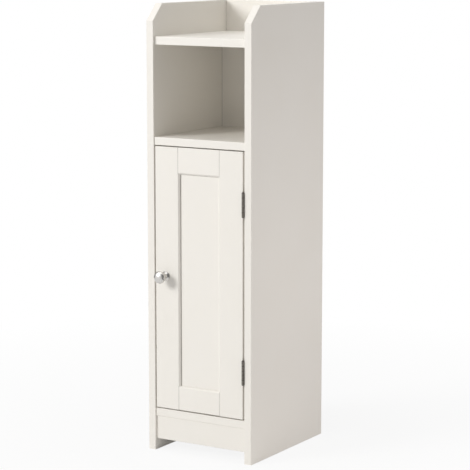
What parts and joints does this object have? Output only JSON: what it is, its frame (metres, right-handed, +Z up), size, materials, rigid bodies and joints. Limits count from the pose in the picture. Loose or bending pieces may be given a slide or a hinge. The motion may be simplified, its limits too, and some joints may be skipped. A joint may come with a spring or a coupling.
{
  "type": "narrow bathroom cabinet",
  "caption": "Tall narrow white bathroom cabinet with a galleried top tray, an open niche and a framed cupboard door on butt hinges with a round knob.",
  "frame": {"origin": "on the floor, under the middle of the bounding box of the whole object, knob included", "axes": "+Z up, -Y out of the door's face, +X towards the hinge side"},
  "size_m": [0.242, 0.315, 0.9],
  "materials": {
    "white_paint": "satin off-white paint on board",
    "back_board": "painted hardboard",
    "satin_nickel": "satin nickel",
    "hinge_steel": "dark satin steel",
    "zinc_steel": "bright zinc plate",
    "cam_alloy": "die-cast zinc alloy",
    "dowel_wood": "raw fluted beech",
    "catch_plastic": "moulded white",
    "ferrite": "sintered ferrite"
  },
  "bodies": {
    "carcass": {"side_panel_left": "white_paint", "side_panel_right": "white_paint", "top_panel": "white_paint", "middle_shelf": "white_paint", "bottom_panel": "white_paint", "plinth_rail": "white_paint", "gallery_back": "white_paint", "back_panel": "back_board", "adjustable_shelf": "white_paint", "shelf_pins": "zinc_steel", "cam_bolts": "zinc_steel", "cam_nuts": "cam_alloy", "wood_dowels": "dowel_wood", "gallery_dowels": "dowel_wood", "back_panel_nails": "zinc_steel", "hinge_upper_frame_leaf": "hinge_steel", "hinge_lower_frame_leaf": "hinge_steel", "hinge_upper_pin": "hinge_steel", "hinge_lower_pin": "hinge_steel", "hinge_frame_screws": "hinge_steel", "catch_housing": "catch_plastic", "catch_magnet": "ferrite", "catch_pole_plates": "zinc_steel", "catch_screws": "zinc_steel"},
    "door": {"door_stile_latch": "white_paint", "door_stile_hinge": "white_paint", "door_rail_top": "white_paint", "door_rail_bottom": "white_paint", "door_panel": "white_paint", "knob": "satin_nickel", "knob_screw": "zinc_steel", "hinge_upper_door_leaf": "hinge_steel", "hinge_lower_door_leaf": "hinge_steel", "hinge_door_screws": "hinge_steel", "strike_plate": "zinc_steel", "strike_screws": "zinc_steel"}
  },
  "joints": [
    {"name": "door_hinge", "type": "hinge", "parent": "carcass", "child": "door", "pos_m": [0.103, -0.1303, 0.3549], "axis": [0, 0, 1], "range_deg": [0, 180]}
  ]
}
